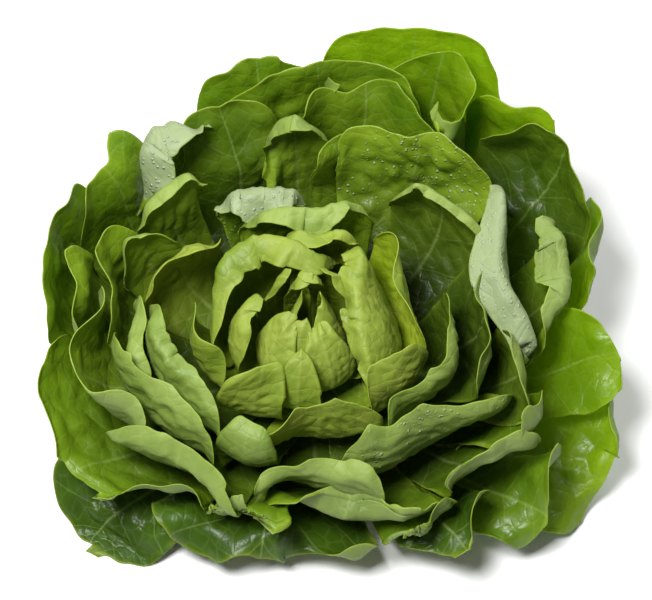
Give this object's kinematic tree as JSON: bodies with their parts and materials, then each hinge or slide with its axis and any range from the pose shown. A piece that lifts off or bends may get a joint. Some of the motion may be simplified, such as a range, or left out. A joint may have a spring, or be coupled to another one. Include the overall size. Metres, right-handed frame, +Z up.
{
  "type": "butterhead lettuce",
  "caption": "Whole butterhead lettuce: a loose open head of cupped, ruffled leaves round a folded heart, on a short cut stem.",
  "frame": {"origin": "centre of the stem's cut face, on the surface that the head rests on", "axes": "+Z up along the stem, +X to the viewer's right, +Y towards the taller back of the head"},
  "size_m": [0.2768, 0.2473, 0.1025],
  "materials": {
    "stem": "matte",
    "heart_leaf": "satin",
    "inner_leaf": "satin",
    "wrapper_leaf": "satin",
    "outer_leaf": "satin"
  },
  "bodies": {
    "root": {"stem": "stem", "heart_leaf_01": "heart_leaf", "heart_leaf_02": "heart_leaf", "heart_leaf_03": "heart_leaf", "heart_leaf_04": "heart_leaf", "heart_leaf_05": "heart_leaf", "heart_leaf_06": "heart_leaf", "heart_leaf_07": "heart_leaf", "heart_leaf_08": "heart_leaf", "heart_leaf_09": "heart_leaf", "heart_leaf_10": "heart_leaf", "heart_leaf_11": "heart_leaf", "heart_leaf_12": "heart_leaf", "inner_leaf_01": "inner_leaf", "inner_leaf_02": "inner_leaf", "inner_leaf_03": "inner_leaf", "inner_leaf_04": "inner_leaf", "inner_leaf_05": "inner_leaf", "inner_leaf_06": "inner_leaf", "inner_leaf_07": "inner_leaf", "inner_leaf_08": "inner_leaf", "inner_leaf_09": "inner_leaf", "inner_leaf_10": "inner_leaf", "inner_leaf_11": "inner_leaf", "inner_leaf_12": "inner_leaf", "inner_leaf_13": "inner_leaf", "inner_leaf_14": "inner_leaf", "inner_leaf_15": "inner_leaf", "inner_leaf_16": "inner_leaf", "inner_leaf_17": "inner_leaf", "inner_leaf_18": "inner_leaf", "wrapper_leaf_01": "wrapper_leaf", "wrapper_leaf_02": "wrapper_leaf", "wrapper_leaf_03": "wrapper_leaf", "wrapper_leaf_04": "wrapper_leaf", "wrapper_leaf_05": "wrapper_leaf", "wrapper_leaf_06": "wrapper_leaf", "wrapper_leaf_07": "wrapper_leaf", "wrapper_leaf_08": "wrapper_leaf", "wrapper_leaf_09": "wrapper_leaf", "wrapper_leaf_10": "wrapper_leaf", "wrapper_leaf_11": "wrapper_leaf", "wrapper_leaf_12": "wrapper_leaf", "outer_leaf_01": "outer_leaf", "outer_leaf_02": "outer_leaf", "outer_leaf_03": "outer_leaf", "outer_leaf_04": "outer_leaf", "outer_leaf_05": "outer_leaf", "outer_leaf_06": "outer_leaf", "outer_leaf_07": "outer_leaf", "outer_leaf_08": "outer_leaf", "outer_leaf_09": "outer_leaf", "outer_leaf_10": "outer_leaf", "outer_leaf_11": "outer_leaf", "outer_leaf_12": "outer_leaf", "outer_leaf_13": "outer_leaf", "outer_leaf_14": "outer_leaf", "outer_leaf_15": "outer_leaf", "outer_leaf_16": "outer_leaf", "outer_leaf_17": "outer_leaf"}
  },
  "joints": []
}
